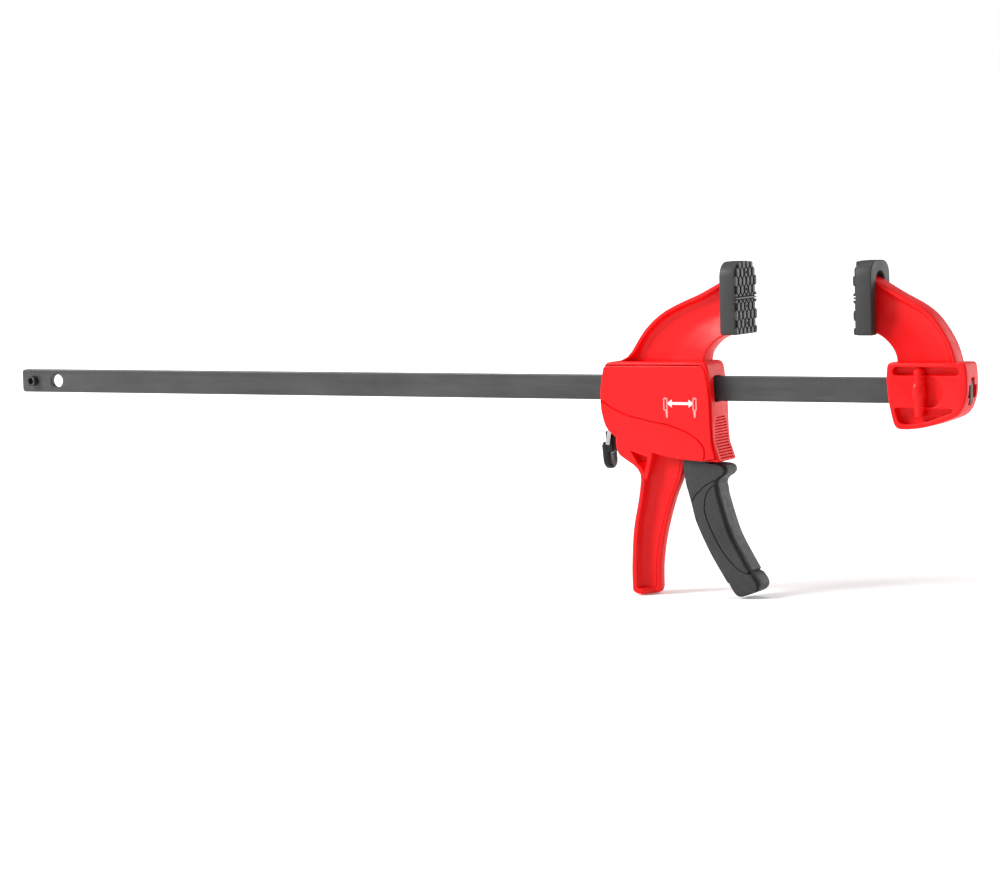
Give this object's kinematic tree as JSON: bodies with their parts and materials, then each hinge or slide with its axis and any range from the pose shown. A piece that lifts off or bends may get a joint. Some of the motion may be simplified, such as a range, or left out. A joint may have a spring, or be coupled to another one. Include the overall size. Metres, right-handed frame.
{
  "type": "quick release bar clamp",
  "caption": "One-handed bar clamp: squeezing the pistol grip's trigger draws the moving jaw along a flat steel bar, and a lever lets it slide back.",
  "frame": {"origin": "centre of the fixed pad's gripping face, on the plain band across its middle", "axes": "+X along the bar, from the moving jaw towards the fixed jaw; +Z from the bar towards the pads; -Y towards the side with the front cover, which the picture shows"},
  "size_m": [0.6477, 0.0286, 0.1939],
  "materials": {
    "red_nylon": "satin moulded glass-filled nylon, red",
    "black_nylon": "satin moulded nylon, black",
    "black_rubber": "moulded rubber, black",
    "dark_bar_steel": "dark blackened bar steel",
    "bright_steel": "plain steel",
    "black_screw_steel": "blackened steel"
  },
  "bodies": {
    "fixed_end": {"bar": "dark_bar_steel", "stop_pin": "bright_steel", "fixed_jaw": "red_nylon", "fixed_jaw_pin": "bright_steel", "fixed_pad": "black_rubber"},
    "moving_jaw": {"jaw_frame": "red_nylon", "front_cover": "red_nylon", "rear_cover": "red_nylon", "moving_pad": "black_rubber", "cover_screw_1": "black_screw_steel", "cover_screw_2": "black_screw_steel", "cover_screw_3": "black_screw_steel", "cover_screw_4": "black_screw_steel", "trigger_pin": "bright_steel", "drive_spring": "bright_steel", "brake_spring": "bright_steel"},
    "trigger": {"trigger": "black_nylon"},
    "drive_plates": {"drive_plate_1": "bright_steel", "drive_plate_2": "bright_steel"},
    "brake": {"brake_plate": "bright_steel", "release_lever": "black_nylon"}
  },
  "joints": [
    {"name": "moving_jaw_slide", "type": "slide", "parent": "fixed_end", "child": "moving_jaw", "axis": [1, 0, 0], "range_m": [-0.4085, 0.0711]},
    {"name": "trigger_squeeze", "type": "hinge", "parent": "moving_jaw", "child": "trigger", "pos_m": [-0.1, 0, -0.0665], "axis": [0, 1, 0], "range_deg": [0, 24], "stiffness_Nm_per_rad": 0.3, "springref_deg": -22.92},
    {"name": "drive_plates_push", "type": "slide", "parent": "moving_jaw", "child": "drive_plates", "axis": [-1, 0, 0], "range_m": [0, 0.0052], "deforming": ["drive_spring"]},
    {"name": "brake_release", "type": "hinge", "parent": "moving_jaw", "child": "brake", "pos_m": [-0.15508, 0, -0.06455], "axis": [0, -1, 0], "range_deg": [0, 8], "stiffness_Nm_per_rad": 0.2, "springref_deg": -8.59, "deforming": ["brake_spring"]}
  ],
  "couplings": [
    {"joint": "drive_plates_push", "follows": "trigger_squeeze", "m_per_rad": 0.0122}
  ]
}
